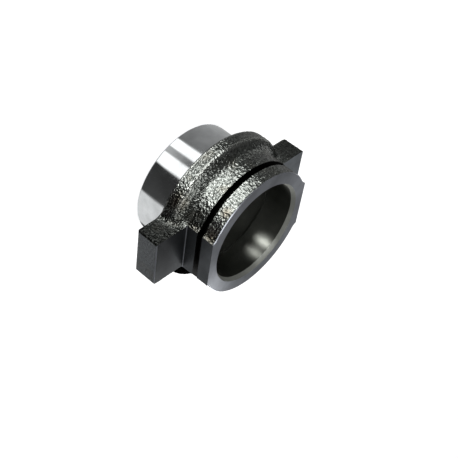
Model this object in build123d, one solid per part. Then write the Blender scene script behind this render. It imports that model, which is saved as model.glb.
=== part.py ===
"""Clutch release sleeve: one iron casting that carries a thrust bearing.

A sand casting, turned and milled where it works. The bearing is pressed on the ground seat at the
rear and stops against the shoulder. A two-pronged fork straddles the neck on the milled side flats
and pushes on the front faces of the two lugs. The bore slides on a guide tube.

Millimetres. The bore's axis is +Z and the lugs point along +X and -X. The sleeve stands on its
rear end, with its front face up, and the origin is the middle of that end.
"""

from build123d import *
from math import radians, tan
import os

# Bore, with a running land at each end and a relief between them
bore_diameter = 55.0
bore_mouth_length = 2.1
bore_mouth_depth = 1.2
rear_land_length = 14.5
front_land_length = 17.5
relief_depth = 1.0
relief_end_length = 1.4

# Ground bearing seat
seat_wall = 5.0
seat_length = 21.5
seat_lead_in = 0.8

# Cast shoulder, round on its front edge and flowing into the neck
shoulder_height = 8.5
shoulder_width = 7.5
shoulder_front_radius = 2.5
shoulder_flank_length = 3.0

# Neck and front ring, one tapered casting parted by a turned groove
neck_wall = 8.3
neck_root_radius = 6.0
draft_angle = 1.5
neck_flat_length = 6.7
groove_width = 3.3
groove_floor_wall = 3.5
ring_thickness = 7.0
ring_edge_chamfer = 0.5

# Fork lugs and the milled step in front of them
lug_height = 28.0
lug_thickness = 13.5
lug_reach = 19.35
lug_edge_radius = 1.4
lug_root_radius = 4.5
rear_edge_chamfer = 0.9
flat_wall = 5.9
slot_corner_radius = 0.5
lug_front_chamfer = 0.5

# Radii that follow from the walls
bore_radius = bore_diameter / 2
mouth_radius = bore_radius + bore_mouth_depth
relief_radius = bore_radius + relief_depth
seat_radius = bore_radius + seat_wall
shoulder_radius = seat_radius + shoulder_height
neck_radius = bore_radius + neck_wall
groove_floor_radius = bore_radius + groove_floor_wall
flat_offset = bore_radius + flat_wall
lug_end = flat_offset + lug_reach

# Heights above the rear end
shoulder_front = seat_length + shoulder_width
neck_root = shoulder_front + shoulder_flank_length
fork_face = seat_length + lug_thickness
groove_rear = fork_face + neck_flat_length
groove_front = groove_rear + groove_width
front_face = groove_front + ring_thickness


def tapered_radius(height):
    """Radius of the cast neck and ring at a height above the rear end."""
    return neck_radius - (height - neck_root) * tan(radians(draft_angle))


def profile(corners):
    """Upright face in the XZ plane from (distance from Z, height, corner radius) triples."""
    points = [(across, height) for across, height, radius in corners]
    radii = [radius for across, height, radius in corners]
    return Plane.XZ * make_face(FilletPolyline(*points, radius=radii, close=True))


def turned(corners):
    """Solid of revolution about Z from (radius, height, corner radius) triples."""
    return revolve(profile(corners), Axis.Z)


def cast_sleeve():
    """Seat, shoulder, neck and ring, solid through, with the draft of the mould on neck and ring."""
    return turned(
        [
            (0, 0, 0),
            (seat_radius - seat_lead_in, 0, 0),
            (seat_radius, seat_lead_in, 0),
            (seat_radius, seat_length, 0),
            (shoulder_radius, seat_length, 0),
            (shoulder_radius, shoulder_front, shoulder_front_radius),
            (neck_radius, neck_root, neck_root_radius),
            (tapered_radius(front_face), front_face, 0),
            (0, front_face, 0),
        ]
    )


def cast_bar():
    """Straight bar across the sleeve: its ends become the lugs, its middle the ears of the neck."""
    section = RectangleRounded(2 * lug_end, lug_height, lug_edge_radius)
    return extrude(Pos(0, 0, seat_length) * section, front_face - seat_length)


def rises(edge):
    """Whether an edge runs up the casting, and not round a level face."""
    return edge.bounding_box().size.Z > rear_edge_chamfer


def raw_casting():
    """Sleeve and bar as one casting, with a root radius where they meet and both rims broken."""
    sleeve = cast_sleeve()
    bar = cast_bar()
    casting = sleeve + bar
    roots = [edge for edge in new_edges(sleeve, bar, combined=casting) if rises(edge)]
    casting = fillet(roots, lug_root_radius)
    lug_back = casting.faces().filter_by(Axis.Z).sort_by(Axis.Z)[1]
    casting = chamfer(lug_back.outer_wire().edges(), rear_edge_chamfer)
    front = casting.faces().filter_by(Axis.Z).sort_by(Axis.Z)[-1]
    return chamfer(front.outer_wire().edges(), ring_edge_chamfer)


def fork_step():
    """Metal milled away in front of the +X lug: it leaves the fork face and the side flat."""
    past_side = 2 * lug_end
    past_front = 2 * front_face
    section = profile(
        [
            (flat_offset, fork_face, slot_corner_radius),
            (lug_end - lug_front_chamfer, fork_face, 0),
            (lug_end, fork_face - lug_front_chamfer, 0),
            (past_side, fork_face - lug_front_chamfer, 0),
            (past_side, past_front, 0),
            (flat_offset, past_front, 0),
        ]
    )
    return extrude(section, lug_height, both=True)


def ring_groove():
    """Square turned groove, all round between the neck and the ring."""
    past_side = 2 * lug_end
    return turned(
        [
            (groove_floor_radius, groove_rear, 0),
            (past_side, groove_rear, 0),
            (past_side, groove_front, 0),
            (groove_floor_radius, groove_front, 0),
        ]
    )


def bore_cut():
    """Through bore: a lead-in at both mouths, two running lands and the relief between them."""
    front_land_start = front_face - front_land_length
    return turned(
        [
            (0, 0, 0),
            (mouth_radius, 0, 0),
            (bore_radius, bore_mouth_length, 0),
            (bore_radius, rear_land_length, 0),
            (relief_radius, rear_land_length + relief_end_length, 0),
            (relief_radius, front_land_start - relief_end_length, 0),
            (bore_radius, front_land_start, 0),
            (bore_radius, front_face - bore_mouth_length, 0),
            (mouth_radius, front_face, 0),
            (0, front_face, 0),
        ]
    )


def release_sleeve():
    """The finished sleeve, milled and turned from the raw casting."""
    body = raw_casting()
    body -= fork_step()
    body -= mirror(fork_step(), Plane.YZ)
    body -= ring_groove()
    body -= bore_cut()
    return body


os.makedirs("parts", exist_ok=True)
export_step(release_sleeve(), "parts/release_sleeve.step")
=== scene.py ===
"""Looks of a clutch release sleeve: a sand-cast iron sleeve, machined where it works.

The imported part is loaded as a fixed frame. A finer copy of its mesh stands in its place: the cast
stretches get the grain of the sand mould, and the machined faces keep their exact planes. Lengths
are written in millimetres and turned to metres where they meet Blender.
"""

import logging
import math
from dataclasses import dataclass
from enum import Enum

import bmesh
import bpy
from mathutils import Matrix, Vector, noise

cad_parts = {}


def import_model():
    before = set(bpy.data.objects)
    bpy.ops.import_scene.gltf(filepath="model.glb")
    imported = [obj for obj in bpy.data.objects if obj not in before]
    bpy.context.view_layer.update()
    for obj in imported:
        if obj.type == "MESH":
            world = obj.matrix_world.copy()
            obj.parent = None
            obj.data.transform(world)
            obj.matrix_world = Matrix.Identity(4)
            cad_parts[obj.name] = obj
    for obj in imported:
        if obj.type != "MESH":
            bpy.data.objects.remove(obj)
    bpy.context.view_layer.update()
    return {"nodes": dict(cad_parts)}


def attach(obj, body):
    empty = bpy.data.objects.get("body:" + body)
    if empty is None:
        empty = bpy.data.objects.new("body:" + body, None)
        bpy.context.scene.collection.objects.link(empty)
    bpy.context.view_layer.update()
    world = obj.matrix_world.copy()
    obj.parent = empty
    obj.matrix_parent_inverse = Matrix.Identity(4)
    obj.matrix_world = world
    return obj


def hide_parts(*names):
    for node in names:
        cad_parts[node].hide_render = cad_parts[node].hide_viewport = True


MM = 0.001
NODE = "release_sleeve"
WEAR_AND_HIGHLIGHT = "wear_and_highlight"
BLOOM_STRENGTH = 1.2
# Spacing of a wave texture's rings at a scale of 1
WAVE_SPACING = math.tau / 20

log = logging.getLogger("sleeve")


class Surface(Enum):
    """How a face of the sleeve was made. The value is its material slot on the mesh."""

    CAST = 0
    GROUND = 1
    FACED = 2
    MILLED = 3
    GROOVED = 4
    BORED = 5
    LUG_END = 6
    MOUTH = 7


def linear(code: str) -> tuple[float, float, float, float]:
    """Turn an sRGB hex colour into the linear values that a shader takes.

    Args:
        code: Six hex digits, as in "8a8d90".

    Returns:
        Red, green, blue and an opacity of 1.
    """
    shares = [int(code[i : i + 2], 16) / 255 for i in (0, 2, 4)]
    red, green, blue = (s / 12.92 if s <= 0.04045 else ((s + 0.055) / 1.055) ** 2.4 for s in shares)
    return red, green, blue, 1.0


def add_node(tree: bpy.types.NodeTree, kind: str, **settings: object) -> bpy.types.Node:
    """Add a shader node, set its values and link its inputs.

    Args:
        tree: Node tree that receives the node.
        kind: Node type, such as "ShaderNodeTexNoise".
        **settings: A property of the node by its name, or an input by its name with underscores
            for spaces. Of inputs with one name, a number at the end picks a later one. An output
            socket as the value is linked, anything else is set.

    Returns:
        The new node.
    """
    node = tree.nodes.new(kind)
    properties = {key: value for key, value in settings.items() if hasattr(node, key)}
    for key, value in properties.items():
        setattr(node, key, value)
    for key, value in settings.items():
        if key in properties:
            continue
        name = key.rstrip("0123456789")
        sockets = [s for s in node.inputs if s.enabled and s.name.replace(" ", "_") == name]
        socket = sockets[int(key[len(name) :] or 0)]
        if isinstance(value, bpy.types.NodeSocket):
            tree.links.new(value, socket)
        else:
            socket.default_value = value
    return node


def new_material(name: str) -> bpy.types.Material:
    """Make an empty node material with nothing in its tree.

    Args:
        name: Name of the real material.

    Returns:
        The material, ready for its nodes.
    """
    material = bpy.data.materials.new(name)
    material.use_nodes = True
    material.node_tree.nodes.clear()
    return material


@dataclass(frozen=True)
class SleeveSizes:
    """Main sizes of the sleeve in millimetres, by which its faces are told apart.

    The last fields are components of a face's normal: square is next to 1, tilted is a chamfer's
    least, and flush is next to 0.
    """

    seat_top: float = 21.5
    lead_in: float = 0.8
    mouth_radius: float = 28.7
    mouth_length: float = 2.1
    groove_floor: float = 31.0
    floor_slack: float = 0.5
    groove_rear: float = 41.7
    groove_front: float = 45.0
    fork_face: float = 35.0
    side_flat: float = 33.4
    lug_end: float = 52.75
    front_face: float = 52.0
    rim_chamfer: float = 0.5
    step_edge: float = 0.6
    corner_end: float = 33.85
    flank_end: float = 34.0
    slack: float = 0.06
    square: float = 0.99
    chamfered: tuple[float, float] = (0.6, 0.9)
    tilted: float = 0.3
    rising: float = 0.1
    flush: float = 0.05

    def surface_at(self, place: Vector, normal: Vector) -> Surface:
        """Name the kind of surface that a face belongs to.

        Args:
            place: Middle of the face, in millimetres.
            normal: Outward direction of the face.

        Returns:
            The surface's kind.
        """
        radius = math.hypot(place.x, place.y)
        outward = (normal.x * place.x + normal.y * place.y) / max(radius, self.slack)
        level = abs(normal.z) > self.square
        sideways = abs(normal.x) > self.square
        if radius < self.mouth_radius + self.slack and outward < self.tilted:
            inside = self.mouth_length < place.z < self.front_face - self.mouth_length
            return Surface.BORED if inside or abs(normal.z) < self.tilted else Surface.MOUTH
        if place.z < self.lead_in and normal.z < -self.tilted:
            return Surface.MILLED
        if place.z < self.seat_top - self.slack:
            return Surface.GROUND
        if level and abs(place.z - self.seat_top) < self.slack:
            return Surface.FACED
        if place.z > self.front_face - self.rim_chamfer - self.slack and normal.z > self.tilted:
            return Surface.FACED
        if self.groove_rear - self.slack < place.z < self.groove_front + self.slack:
            if level or radius < self.groove_floor + self.floor_slack:
                return Surface.GROOVED
        if sideways and abs(place.x) > self.lug_end - self.slack:
            return Surface.LUG_END
        if sideways and abs(abs(place.x) - self.side_flat) < self.slack:
            return Surface.MILLED
        if place.z > self.fork_face - self.step_edge and abs(place.x) > self.side_flat - self.slack:
            return self.step_surface_at(abs(place.x), normal)
        return Surface.CAST

    def step_surface_at(self, across: float, normal: Vector) -> Surface:
        """Name the kind of surface that a face in the milled step of a lug belongs to.

        Args:
            across: Distance of the face from the YZ plane, in millimetres.
            normal: Outward direction of the face.

        Returns:
            The surface's kind.
        """
        lengthwise = abs(normal.y) < self.flush
        if lengthwise and across < self.corner_end and self.rising < normal.z < self.square:
            return Surface.FACED
        if self.chamfered[0] < normal.z < self.chamfered[1]:
            return Surface.FACED
        if abs(normal.z) > self.square or (lengthwise and across < self.flank_end):
            return Surface.MILLED
        return Surface.CAST


def add_blooms(
    tree: bpy.types.NodeTree,
    place: bpy.types.NodeSocket,
    blooms: tuple[tuple[float, float, float, float], ...],
    ragged: bpy.types.NodeSocket,
) -> bpy.types.NodeSocket:
    """Add the nodes for rust blooms with ragged rims.

    Args:
        tree: Node tree that receives the nodes.
        place: Object coordinates.
        blooms: Middle and radius of every bloom, in millimetres.
        ragged: Noise between 0 and 1 that frays the blooms towards their rims.

    Returns:
        Share of rust, from 0 to 1.
    """
    share = add_node(tree, "ShaderNodeValue").outputs["Value"]
    share.default_value = 0.0
    for x, y, z, radius in blooms:
        middle = Vector((x, y, z)) * MM
        away = add_node(
            tree, "ShaderNodeVectorMath", operation="DISTANCE", Vector=place, Vector1=middle
        )
        near = add_node(
            tree,
            "ShaderNodeMapRange",
            Value=away.outputs["Value"],
            From_Min=radius * MM,
            From_Max=0.0,
            To_Max=BLOOM_STRENGTH,
        )
        frayed = add_node(
            tree,
            "ShaderNodeMath",
            operation="MULTIPLY",
            Value=near.outputs["Result"],
            Value1=ragged,
        )
        most = add_node(
            tree, "ShaderNodeMath", operation="MAXIMUM", Value=share, Value1=frayed.outputs["Value"]
        )
        share = most.outputs["Value"]
    return share


@dataclass(frozen=True)
class ShotBlastedCastIron:
    """Grey iron from a sand mould, shot blasted: dark graphite skin whose peened grain glints.

    Painted shade darkens the colour on the side towards shaded_way, and takes the sheen off its
    grazing stretches there; the way's length stretches the two shade distances a little. Outward
    curves turn light grey, partly wear and partly a painted highlight. Rust has bloomed at a few
    spots, and the lugs are darker and duller than the round sleeve.
    """

    name: str = "shot_blasted_cast_iron"
    dark: str = "474a47"
    pale: str = "868985"
    brown: str = "5a4e3a"
    # Light grey for the outward curves: partly wear, partly a painted highlight
    wear_and_highlight: str = "b8bab5"
    roughness: float = 0.15
    grain_mm: float = 1.15
    grain_range: tuple[float, float] = (0.35, 0.7)
    grain_depth_mm: float = 0.4
    stain_mm: float = 11.0
    stain_range: tuple[float, float] = (0.55, 0.75)
    stain_strength: float = 0.25
    wear_highlight_strength: float = 0.6
    # Painted shade on the -X, -Y side: its way, where the darkening starts and ends, and its
    # darkest tone
    shaded_way: tuple[float, float, float] = (-0.75, -0.66, 0.3)
    shade_start_mm: float = 9.0
    shade_end_mm: float = 52.0
    shaded_tone: float = 0.05
    lug_start_mm: float = 36.0
    lug_end_mm: float = 43.0
    lug_tone: float = 0.45
    lug_roughness: float = 0.3
    blooms: tuple[tuple[float, float, float, float], ...] = (
        (-33.3, 23.9, 27.7, 7.0),
        (-23.4, 26.5, 48.8, 4.0),
        (-31.0, 13.0, 39.0, 5.0),
        (-31.5, 16.0, 48.5, 6.0),
    )

    def build(self) -> bpy.types.Material:
        """Make the material.

        Returns:
            The finished material.
        """
        material = new_material(self.name)
        tree = material.node_tree
        place = add_node(tree, "ShaderNodeTexCoord").outputs["Object"]
        grain = add_node(
            tree, "ShaderNodeTexNoise", Vector=place, Scale=1 / (self.grain_mm * MM), Detail=2.0
        )
        tone = add_node(
            tree,
            "ShaderNodeMapRange",
            Value=grain.outputs["Fac"],
            From_Min=self.grain_range[0],
            From_Max=self.grain_range[1],
        )
        skin = add_node(
            tree,
            "ShaderNodeMix",
            data_type="RGBA",
            Factor=tone.outputs["Result"],
            A=linear(self.dark),
            B=linear(self.pale),
        )
        stain = add_node(
            tree, "ShaderNodeTexNoise", Vector=place, Scale=1 / (self.stain_mm * MM), Detail=2.0
        )
        stain_share = add_node(
            tree,
            "ShaderNodeMapRange",
            Value=stain.outputs["Fac"],
            From_Min=self.stain_range[0],
            From_Max=self.stain_range[1],
            To_Max=self.stain_strength,
        )
        rust_share = add_node(
            tree,
            "ShaderNodeMath",
            operation="MAXIMUM",
            Value=stain_share.outputs["Result"],
            Value1=add_blooms(tree, place, self.blooms, grain.outputs["Fac"]),
        )
        rusted = add_node(
            tree,
            "ShaderNodeMix",
            data_type="RGBA",
            Factor=rust_share.outputs["Value"],
            A=skin.outputs["Result"],
            B=linear(self.brown),
        )
        # Outward curves turn light grey: partly handling wear, partly a painted highlight
        wear_highlight = add_node(tree, "ShaderNodeAttribute", attribute_name=WEAR_AND_HIGHLIGHT)
        wear_highlight_share = add_node(
            tree,
            "ShaderNodeMath",
            operation="MULTIPLY",
            Value=wear_highlight.outputs["Fac"],
            Value1=self.wear_highlight_strength,
        )
        bright = add_node(
            tree,
            "ShaderNodeMix",
            data_type="RGBA",
            Factor=wear_highlight_share.outputs["Value"],
            A=rusted.outputs["Result"],
            B=linear(self.wear_and_highlight),
        )
        # Painted shade: the colour darkens along this way, and the same factor takes the sheen off
        along = add_node(
            tree,
            "ShaderNodeVectorMath",
            operation="DOT_PRODUCT",
            Vector=place,
            Vector1=self.shaded_way,
        )
        painted_shade = add_node(
            tree,
            "ShaderNodeMapRange",
            Value=along.outputs["Value"],
            From_Min=self.shade_start_mm * MM,
            From_Max=self.shade_end_mm * MM,
            To_Min=1.0,
            To_Max=self.shaded_tone,
        )
        across = add_node(tree, "ShaderNodeSeparateXYZ", Vector=place).outputs["X"]
        outward = add_node(tree, "ShaderNodeMath", operation="ABSOLUTE", Value=across)
        lug_share = add_node(
            tree,
            "ShaderNodeMapRange",
            Value=outward.outputs["Value"],
            From_Min=self.lug_start_mm * MM,
            From_Max=self.lug_end_mm * MM,
        )
        lug_tone = add_node(
            tree,
            "ShaderNodeMapRange",
            Value=lug_share.outputs["Result"],
            To_Min=1.0,
            To_Max=self.lug_tone,
        )
        dulled = add_node(
            tree,
            "ShaderNodeMapRange",
            Value=lug_share.outputs["Result"],
            To_Min=self.roughness,
            To_Max=self.lug_roughness,
        )
        # Painted shade times the darker tone of the lugs
        painted_shading = add_node(
            tree,
            "ShaderNodeMath",
            operation="MULTIPLY",
            Value=painted_shade.outputs["Result"],
            Value1=lug_tone.outputs["Result"],
        )
        colour = add_node(
            tree,
            "ShaderNodeVectorMath",
            operation="SCALE",
            Vector=bright.outputs["Result"],
            Scale=painted_shading.outputs["Value"],
        )
        bump = add_node(
            tree,
            "ShaderNodeBump",
            Height=grain.outputs["Fac"],
            Strength=1.0,
            Distance=self.grain_depth_mm * MM,
        )
        shader = add_node(
            tree,
            "ShaderNodeBsdfPrincipled",
            Base_Color=colour.outputs["Vector"],
            Metallic=1.0,
            Roughness=dulled.outputs["Result"],
            Specular_Tint=painted_shade.outputs["Result"],
            Normal=bump.outputs["Normal"],
        )
        add_node(tree, "ShaderNodeOutputMaterial", Surface=shader.outputs["BSDF"])
        return material


@dataclass(frozen=True)
class MachinedIron:
    """Bare grey iron cut by a tool: a metal whose fine marks run one way and stretch its glints.

    The rings are drawn coarser than the real marks of the tool, so that they show at all. Painted
    light and shade scale the colour, from left at the -X end to right at the +X end.
    """

    name: str
    colour: str
    roughness: float
    anisotropy: float
    ring_mm: float = 3.14
    ring_depth_mm: float = 0.01
    ring_strength: float = 0.3
    cloud_mm: float = 9.0
    cloud_tones: tuple[float, float] = (0.82, 1.12)
    # Painted light and shade across X: its reach, and the colour's scale at each end
    painted_shading_end_mm: float = 45.0
    left: float = 1.0
    right: float = 1.0
    turn: float = 0.25

    def build(self) -> bpy.types.Material:
        """Make the material.

        Returns:
            The finished material.
        """
        material = new_material(self.name)
        tree = material.node_tree
        place = add_node(tree, "ShaderNodeTexCoord").outputs["Object"]
        cloud = add_node(
            tree, "ShaderNodeTexNoise", Vector=place, Scale=1 / (self.cloud_mm * MM), Detail=4.0
        )
        tone = add_node(
            tree,
            "ShaderNodeMapRange",
            Value=cloud.outputs["Fac"],
            From_Min=0.3,
            From_Max=0.7,
            To_Min=self.cloud_tones[0],
            To_Max=self.cloud_tones[1],
        )
        # Painted light and shade: the colour scales from left at -X to right at +X
        across = add_node(tree, "ShaderNodeSeparateXYZ", Vector=place).outputs["X"]
        painted_shading = add_node(
            tree,
            "ShaderNodeMapRange",
            Value=across,
            From_Min=-self.painted_shading_end_mm * MM,
            From_Max=self.painted_shading_end_mm * MM,
            To_Min=self.left,
            To_Max=self.right,
        )
        clean = add_node(
            tree,
            "ShaderNodeVectorMath",
            operation="SCALE",
            Vector=linear(self.colour)[:3],
            Scale=painted_shading.outputs["Result"],
        )
        colour = add_node(
            tree,
            "ShaderNodeVectorMath",
            operation="SCALE",
            Vector=clean.outputs["Vector"],
            Scale=tone.outputs["Result"],
        )
        marks = add_node(
            tree,
            "ShaderNodeTexWave",
            wave_type="RINGS",
            rings_direction="Z",
            Vector=place,
            Scale=WAVE_SPACING / (self.ring_mm * MM),
            Distortion=1.5,
            Detail=3.0,
        )
        bump = add_node(
            tree,
            "ShaderNodeBump",
            Height=marks.outputs["Fac"],
            Strength=self.ring_strength,
            Distance=self.ring_depth_mm * MM,
        )
        tangent = add_node(tree, "ShaderNodeTangent", direction_type="RADIAL", axis="Z")
        shader = add_node(
            tree,
            "ShaderNodeBsdfPrincipled",
            Base_Color=colour.outputs["Vector"],
            Metallic=1.0,
            Roughness=self.roughness,
            Anisotropic=self.anisotropy,
            Anisotropic_Rotation=self.turn,
            Normal=bump.outputs["Normal"],
            Tangent=tangent.outputs["Tangent"],
        )
        add_node(tree, "ShaderNodeOutputMaterial", Surface=shader.outputs["BSDF"])
        return material


FINISHES = {
    # Dark skin whose peened grain breaks the light into small white glints
    Surface.CAST: ShotBlastedCastIron(),
    # Bearing seat: near mirror, in which the white strips stand as sharp bands
    Surface.GROUND: MachinedIron("ground_iron", "e6e9ea", 0.15, 0.5, ring_depth_mm=0.004),
    # Front face, back of the shoulder and small edges: satin grey with a cool sheen, painted a
    # little lighter towards +X
    Surface.FACED: MachinedIron("faced_iron", "b2b6bd", 0.36, 0.6, left=0.95, right=1.3),
    # Fork faces, side flats and the seat's lead-in: dull blue grey, with painted shade at the -X
    # side and painted light at the +X side
    Surface.MILLED: MachinedIron(
        "milled_iron", "505356", 0.42, 0.3, ring_mm=3.77, left=0.55, right=5.0
    ),
    # Groove: almost black, a painted shade for its recess; its tool left it dull
    Surface.GROOVED: MachinedIron("grooved_iron", "151514", 0.6, 0.2),
    # Bore: dark and smooth, with glints drawn out along the axis across the tool marks
    Surface.BORED: MachinedIron("bored_iron", "787a74", 0.38, 0.8),
    # Bore mouths: scraped dull, so they stay an even grey beside the bore's glints
    Surface.MOUTH: MachinedIron("scraped_iron", "aeb0aa", 0.75, 0.0),
    # Lug ends: flat, finely grained dark grey
    Surface.LUG_END: ShotBlastedCastIron(
        name="trimmed_cast_iron",
        dark="4e5153",
        pale="6d7174",
        brown="5c5344",
        roughness=0.45,
        grain_mm=0.85,
        shaded_tone=1.0,
        lug_tone=1.0,
        lug_roughness=0.45,
    ),
}


@dataclass
class Casting:
    """The sleeve's visible mesh: a finer copy of the CAD solid with the mould's grain on it."""

    sizes: SleeveSizes
    weld_mm: float = 0.002
    facet_mm: float = 0.62
    passes: int = 6
    crease_degrees: float = 7.0
    grain_mm: float = 0.92
    grain_depth_mm: float = 0.38
    grain_floor: float = 0.25
    cell_share: float = 0.75
    noise_share: float = 0.25
    noise_stretch: float = 0.7
    swell_mm: float = 9.0
    swell_depth_mm: float = 0.12
    bend_start: float = 0.06
    bend_span: float = 0.2
    bend_step_mm: float = 0.1

    def build(self, source: bpy.types.Object) -> bpy.types.Object:
        """Copy the CAD node, refine its cast faces, roughen them and dress the whole.

        Args:
            source: The CAD node, which stays as it is.

        Returns:
            The new piece.
        """
        work = bmesh.new()
        work.from_mesh(source.data)
        bmesh.ops.remove_doubles(work, verts=work.verts, dist=self.weld_mm * MM)
        self.sort_faces(work)
        self.refine(work)
        self.mark_wear_and_highlight(work)
        self.roughen(work)
        self.part_edges(work)
        mesh = bpy.data.meshes.new("sleeve_casting")
        work.to_mesh(mesh)
        work.free()
        piece = bpy.data.objects.new("sleeve_casting", mesh)
        bpy.context.scene.collection.objects.link(piece)
        for surface in Surface:
            mesh.materials.append(FINISHES[surface].build())
        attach(piece, "root")
        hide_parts(NODE)
        log.info("%s: %d triangles", piece.name, len(mesh.polygons))
        return piece

    def sort_faces(self, work: bmesh.types.BMesh) -> None:
        """Give every face the material slot of its surface.

        Args:
            work: Mesh in metres.
        """
        for face in work.faces:
            place = face.calc_center_median() / MM
            face.material_index = self.sizes.surface_at(place, face.normal).value

    def refine(self, work: bmesh.types.BMesh) -> None:
        """Halve the edges round cast faces, pass by pass, down to about the facet length.

        Args:
            work: Mesh in metres.
        """
        for _ in range(self.passes):
            long_edges = [
                edge
                for edge in work.edges
                if edge.calc_length() > self.facet_mm * MM
                and any(face.material_index == Surface.CAST.value for face in edge.link_faces)
            ]
            bmesh.ops.subdivide_edges(work, edges=long_edges, cuts=1)
            bmesh.ops.triangulate(work, faces=[face for face in work.faces if len(face.verts) > 3])

    def part_edges(self, work: bmesh.types.BMesh) -> None:
        """Shade the faces smooth, and part them where two surfaces meet or a machined edge turns.

        Args:
            work: Mesh in metres.
        """
        for face in work.faces:
            face.smooth = True
        for edge in work.edges:
            kinds = {face.material_index for face in edge.link_faces}
            turned = edge.calc_face_angle(0.0) > math.radians(self.crease_degrees)
            edge.smooth = len(kinds) == 1 and (kinds == {Surface.CAST.value} or not turned)

    def mark_wear_and_highlight(self, work: bmesh.types.BMesh) -> None:
        """Mark the outward curves of the cast skin: wear, and a painted highlight.

        Args:
            work: Mesh in metres.
        """
        work.normal_update()
        wear_and_highlight = work.verts.layers.float.new(WEAR_AND_HIGHLIGHT)
        inner = {
            vert
            for vert in work.verts
            if all(face.material_index == Surface.CAST.value for face in vert.link_faces)
        }
        bends = {}
        for vert in inner:
            ways = [
                (vert.co - other.co, vert.normal - other.normal)
                for other in (edge.other_vert(vert) for edge in vert.link_edges)
                if other in inner
            ]
            shortest = (self.bend_step_mm * MM) ** 2
            turns = [turn.dot(way) * MM / max(way.length_squared, shortest) for way, turn in ways]
            bends[vert] = sum(turns) / max(1, len(turns))
        for vert in inner:
            around = [bends.get(edge.other_vert(vert), 0.0) for edge in vert.link_edges]
            mean = (bends[vert] + sum(around)) / (1 + len(around))
            vert[wear_and_highlight] = min(1.0, max(0.0, (mean - self.bend_start) / self.bend_span))

    def roughen(self, work: bmesh.types.BMesh) -> None:
        """Sink the cast skin by grain and low swells, and keep its rims in the machined faces.

        Args:
            work: Mesh in metres.
        """
        work.normal_update()
        moves = []
        for vert in work.verts:
            cast = [face for face in vert.link_faces if face.material_index == Surface.CAST.value]
            if not cast:
                continue
            normal = sum((face.normal * face.calc_area() for face in cast), Vector())
            if normal.length == 0:
                continue
            normal.normalize()
            move = normal * -self.depth_at(vert.co / MM) * MM
            for face in vert.link_faces:
                if face.material_index != Surface.CAST.value:
                    move -= move.dot(face.normal) * face.normal
            moves.append((vert, move))
        low = [min(vert.co[axis] for vert in work.verts) for axis in range(3)]
        high = [max(vert.co[axis] for vert in work.verts) for axis in range(3)]
        for vert, move in moves:
            moved = vert.co + move
            vert.co = [min(max(moved[axis], low[axis]), high[axis]) for axis in range(3)]

    def depth_at(self, place: Vector) -> float:
        """Depth by which the cast skin sinks at a place, both in millimetres.

        Args:
            place: The place on the skin.

        Returns:
            The depth of grain and swell together.
        """
        cells = self.cell_share * noise.voronoi(place / self.grain_mm)[0][0]
        fray = self.noise_share * noise.noise(place / self.grain_mm * self.noise_stretch)
        grain = min(1.0, cells + self.grain_floor + fray)
        swell = 0.5 + 0.5 * noise.noise(place / self.swell_mm)
        return self.grain_depth_mm * grain + self.swell_depth_mm * swell


@dataclass(frozen=True)
class PhotoCamera:
    """Camera at the photograph's viewing angle, rolled as the photograph is."""

    place_mm: tuple[float, float, float] = (-264.15, 317.55, 230.74)
    aim_mm: tuple[float, float, float] = (-8.871, 0.528, 41.188)
    roll_degrees: float = 127.17
    lens_mm: float = 71.92
    sensor_mm: float = 36.0
    clip_mm: float = 10.0

    def build(self) -> bpy.types.Object:
        """Make the camera and set it as the scene's own.

        Returns:
            The camera's object.
        """
        data = bpy.data.cameras.new("photo_camera")
        data.lens = self.lens_mm
        data.sensor_width = self.sensor_mm
        data.clip_start = self.clip_mm * MM
        camera = bpy.data.objects.new("photo_camera", data)
        bpy.context.scene.collection.objects.link(camera)
        place = Vector(self.place_mm) * MM
        aim = Vector(self.aim_mm) * MM
        turn = (aim - place).to_track_quat("-Z", "Y").to_matrix().to_4x4()
        roll = Matrix.Rotation(math.radians(self.roll_degrees), 4, "Z")
        camera.matrix_world = Matrix.Translation(place) @ turn @ roll
        bpy.context.scene.camera = camera
        return camera


@dataclass(frozen=True)
class Softbox:
    """Rectangular lamp that faces the sleeve's middle, placed by its azimuth and elevation."""

    name: str
    azimuth: float
    elevation: float
    size_mm: tuple[float, float]
    watts: float
    distance_mm: float = 900.0
    middle_mm: tuple[float, float, float] = (0.0, 0.0, 26.0)

    def build(self) -> bpy.types.Object:
        """Make the lamp.

        Returns:
            The lamp's object.
        """
        data = bpy.data.lights.new(self.name, "AREA")
        data.shape = "RECTANGLE"
        data.size = self.size_mm[0] * MM
        data.size_y = self.size_mm[1] * MM
        data.energy = self.watts
        lamp = bpy.data.objects.new(self.name, data)
        bpy.context.scene.collection.objects.link(lamp)
        middle = Vector(self.middle_mm) * MM
        lamp.matrix_world = facing(middle, self.azimuth, self.elevation, self.distance_mm)
        return lamp


@dataclass(frozen=True)
class BoreLamp:
    """Narrow spotlight that looks in over the front rim and puts a glint on the bore's land."""

    name: str
    azimuth: float
    aim_mm: tuple[float, float, float]
    watts: float
    elevation: float = 13.0
    distance_mm: float = 400.0
    radius_mm: float = 3.0
    cone_degrees: float = 1.6
    blend: float = 0.8

    def build(self) -> bpy.types.Object:
        """Make the lamp.

        Returns:
            The lamp's object.
        """
        data = bpy.data.lights.new(self.name, "SPOT")
        data.shadow_soft_size = self.radius_mm * MM
        data.spot_size = math.radians(self.cone_degrees)
        data.spot_blend = self.blend
        data.energy = self.watts
        lamp = bpy.data.objects.new(self.name, data)
        bpy.context.scene.collection.objects.link(lamp)
        aim = Vector(self.aim_mm) * MM
        lamp.matrix_world = facing(aim, self.azimuth, self.elevation, self.distance_mm)
        return lamp


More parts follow.
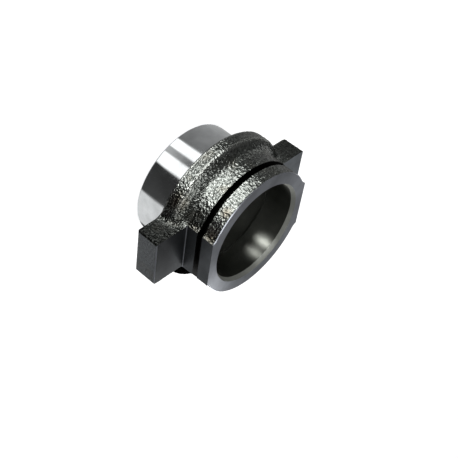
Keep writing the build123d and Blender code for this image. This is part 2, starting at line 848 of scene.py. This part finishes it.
def facing(middle: Vector, azimuth: float, elevation: float, distance_mm: float) -> Matrix:
    """Placement of a lamp that looks at a point.

    Args:
        middle: The point, in metres.
        azimuth: Direction of the lamp from the point, in degrees from +X towards +Y.
        elevation: Height of the lamp over the point, in degrees.
        distance_mm: Distance between them.

    Returns:
        The lamp's matrix.
    """
    turn, rise = math.radians(azimuth), math.radians(elevation)
    way = Vector((math.cos(turn) * math.cos(rise), math.sin(turn) * math.cos(rise), math.sin(rise)))
    place = Matrix.Translation(middle + way * distance_mm * MM)
    return place @ way.to_track_quat("Z", "Y").to_matrix().to_4x4()


@dataclass(frozen=True)
class BandCard:
    """Card on the floor in bands of grey, which the ground seat mirrors as bands along its length.

    The bands run along the lines that the seat reflects towards the camera, so each keeps one
    width from the rear edge to the shoulder. Each stop is an azimuth on the seat, the tone of the
    card there, and the gains of that tone right at the seat and past the stretch that the seat
    mirrors, for the glints of the cast skin. Only glossy surfaces see the card.
    """

    name: str = "card_bands"
    stops: tuple[tuple[float, float, float, float], ...] = (
        (30.0, 0.5, 1.0, 0.8),
        (102.6, 0.17, 1.0, 0.8),
        (104.2, 1.4, 1.0, 6.5),
        (112.6, 1.4, 1.0, 6.5),
        (114.0, 0.17, 2.8, 3.0),
        (119.2, 0.17, 2.8, 3.0),
        (120.6, 1.4, 1.0, 7.5),
        (130.6, 1.4, 1.0, 7.5),
        (132.8, 0.02, 1.5, 5.0),
        (160.0, 0.055, 1.0, 3.0),
        (162.4, 0.75, 1.0, 0.5),
        (200.0, 0.72, 1.0, 0.5),
        (202.0, 0.03, 1.0, 1.0),
        (240.0, 0.03, 1.0, 1.0),
    )
    seat_mm: float = 33.2
    reaches_mm: tuple[float, ...] = (0.0, 30.0, 56.0, 92.0, 300.0)
    far_row: int = 3
    lift_mm: float = 0.2
    step_degrees: float = 2.0

    def columns(self) -> list[tuple[float, ...]]:
        """Fill in the stops, so that the card's lines fan out evenly.

        Returns:
            Azimuth on the seat, tone, near gain and far gain of every line.
        """
        lines = []
        for first, second in zip(self.stops, self.stops[1:]):
            steps = max(1, round((second[0] - first[0]) / self.step_degrees))
            for step in range(steps):
                lines.append(tuple(a + (b - a) * step / steps for a, b in zip(first, second)))
        lines.append(self.stops[-1])
        return lines

    def build(self, camera: Vector) -> bpy.types.Object:
        """Make the card.

        Args:
            camera: Place of the camera.

        Returns:
            The card's object.
        """
        lines = self.columns()
        rows = len(self.reaches_mm) - 1
        work = bmesh.new()
        bmesh.ops.create_grid(work, x_segments=len(lines) - 1, y_segments=rows, size=1.0)
        tones = work.verts.layers.float_color.new("tone")
        for vert in work.verts:
            azimuth, tone, near, far = lines[round((vert.co.x + 1) / 2 * (len(lines) - 1))]
            row = round((vert.co.y + 1) / 2 * rows)
            angle = math.radians(azimuth)
            normal = Vector((math.cos(angle), math.sin(angle), 0))
            foot = normal * self.seat_mm * MM
            sight = camera.xy.to_3d() - foot
            mirrored = (2 * normal.dot(sight) * normal - sight).normalized()
            tone *= near if row == 0 else far if row >= self.far_row else 1.0
            vert[tones] = (tone, tone, tone, 1.0)
            vert.co = foot + mirrored * self.reaches_mm[row] * MM
            vert.co.z += self.lift_mm * MM
        return lay_card(work, self.name)


@dataclass(frozen=True)
class BoreCard:
    """Near black disc under the open bore, which keeps the white floor out of its mirror images."""

    name: str = "card_bore"
    radius_mm: float = 27.3
    lift_mm: float = 0.2
    tone: float = 0.03
    sides: int = 48

    def build(self) -> bpy.types.Object:
        """Make the disc.

        Returns:
            The disc's object.
        """
        work = bmesh.new()
        lift = Matrix.Translation((0, 0, self.lift_mm * MM))
        bmesh.ops.create_circle(
            work, cap_ends=True, segments=self.sides, radius=self.radius_mm * MM, matrix=lift
        )
        tones = work.verts.layers.float_color.new("tone")
        for vert in work.verts:
            vert[tones] = (self.tone, self.tone, self.tone, 1.0)
        return lay_card(work, self.name)


def lay_card(work: bmesh.types.BMesh, name: str) -> bpy.types.Object:
    """Turn a card's mesh into a stage object that only glossy surfaces see.

    Args:
        work: The card's mesh, with its greys in a layer named tone. It is freed.
        name: Name of the card.

    Returns:
        The card's object.
    """
    mesh = bpy.data.meshes.new(name)
    work.to_mesh(mesh)
    work.free()
    material = new_material(name)
    tree = material.node_tree
    tone = add_node(tree, "ShaderNodeAttribute", attribute_name="tone")
    glow = add_node(tree, "ShaderNodeEmission", Color=tone.outputs["Color"], Strength=1.0)
    add_node(tree, "ShaderNodeOutputMaterial", Surface=glow.outputs["Emission"])
    mesh.materials.append(material)
    card = bpy.data.objects.new(name, mesh)
    bpy.context.scene.collection.objects.link(card)
    card.visible_camera = False
    card.visible_diffuse = False
    card.visible_shadow = False
    card.visible_transmission = False
    return card


@dataclass
class Studio:
    """Pale floor, plain world and the lamps and cards round the sleeve."""

    floor_half_mm: float = 9000.0
    floor_colour: str = "e6e6e6"
    floor_glow: float = 0.875
    world_level: float = 0.16

    def build(self, camera: Vector) -> None:
        """Make the whole studio.

        Args:
            camera: Place of the camera.
        """
        self.build_floor()
        self.build_world()
        for lamp in (
            Softbox("strip_upper", 96.0, 9.0, (120.0, 180.0), watts=0.5, distance_mm=650.0),
            Softbox("strip_lower", 125.0, 9.0, (150.0, 180.0), watts=0.6, distance_mm=650.0),
            Softbox("overhead", 160.0, 72.0, (500.0, 500.0), watts=2.5),
            Softbox("face_glow", 285.0, 18.0, (300.0, 300.0), watts=2.0),
            BoreLamp("bore_lamp_upper", 124.0, (16.5, -22.0, 46.2), watts=7.4),
            BoreLamp("bore_lamp_lower", 95.0, (10.5, -25.4, 46.2), watts=4.0),
        ):
            lamp.build()
        BandCard().build(camera)
        BoreCard().build()

    def build_floor(self) -> None:
        """Lay the floor: a lit pale board, which also glows to the camera and to mirror images."""
        work = bmesh.new()
        bmesh.ops.create_grid(work, x_segments=1, y_segments=1, size=self.floor_half_mm * MM)
        mesh = bpy.data.meshes.new("floor")
        work.to_mesh(mesh)
        work.free()
        material = new_material("matt_white_board")
        tree = material.node_tree
        board = add_node(tree, "ShaderNodeBsdfDiffuse", Color=linear(self.floor_colour))
        path = add_node(tree, "ShaderNodeLightPath")
        seen = add_node(
            tree,
            "ShaderNodeMath",
            operation="MAXIMUM",
            Value=path.outputs["Is Camera Ray"],
            Value1=path.outputs["Is Glossy Ray"],
        )
        glow = add_node(tree, "ShaderNodeEmission", Strength=self.floor_glow)
        both = add_node(
            tree,
            "ShaderNodeAddShader",
            Shader=board.outputs["BSDF"],
            Shader1=glow.outputs["Emission"],
        )
        mix = add_node(
            tree,
            "ShaderNodeMixShader",
            Fac=seen.outputs["Value"],
            Shader=board.outputs["BSDF"],
            Shader1=both.outputs["Shader"],
        )
        add_node(tree, "ShaderNodeOutputMaterial", Surface=mix.outputs["Shader"])
        mesh.materials.append(material)
        floor = bpy.data.objects.new("floor", mesh)
        bpy.context.scene.collection.objects.link(floor)

    def build_world(self) -> None:
        """Fill the sky with one soft grey, and white where the camera looks straight at it."""
        world = bpy.data.worlds.new("studio_world")
        world.use_nodes = True
        tree = world.node_tree
        tree.nodes.clear()
        path = add_node(tree, "ShaderNodeLightPath")
        sky = add_node(tree, "ShaderNodeBackground", Strength=self.world_level)
        white = add_node(tree, "ShaderNodeBackground", Strength=1.0)
        for node in (sky, white):
            node.inputs["Color"].default_value = (1.0, 1.0, 1.0, 1.0)
        mix = add_node(
            tree,
            "ShaderNodeMixShader",
            Fac=path.outputs["Is Camera Ray"],
            Shader=sky.outputs["Background"],
            Shader1=white.outputs["Background"],
        )
        add_node(tree, "ShaderNodeOutputWorld", Surface=mix.outputs["Shader"])
        bpy.context.scene.world = world


def main() -> None:
    """Build the sleeve's looks, the studio and the camera."""
    logging.basicConfig(level=logging.INFO, format="%(name)s %(message)s")
    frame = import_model()
    bpy.context.scene.view_settings.view_transform = "Standard"
    camera = PhotoCamera().build()
    Casting(SleeveSizes()).build(frame["nodes"][NODE])
    Studio().build(camera.matrix_world.translation)


if __name__ == "__main__":
    main()
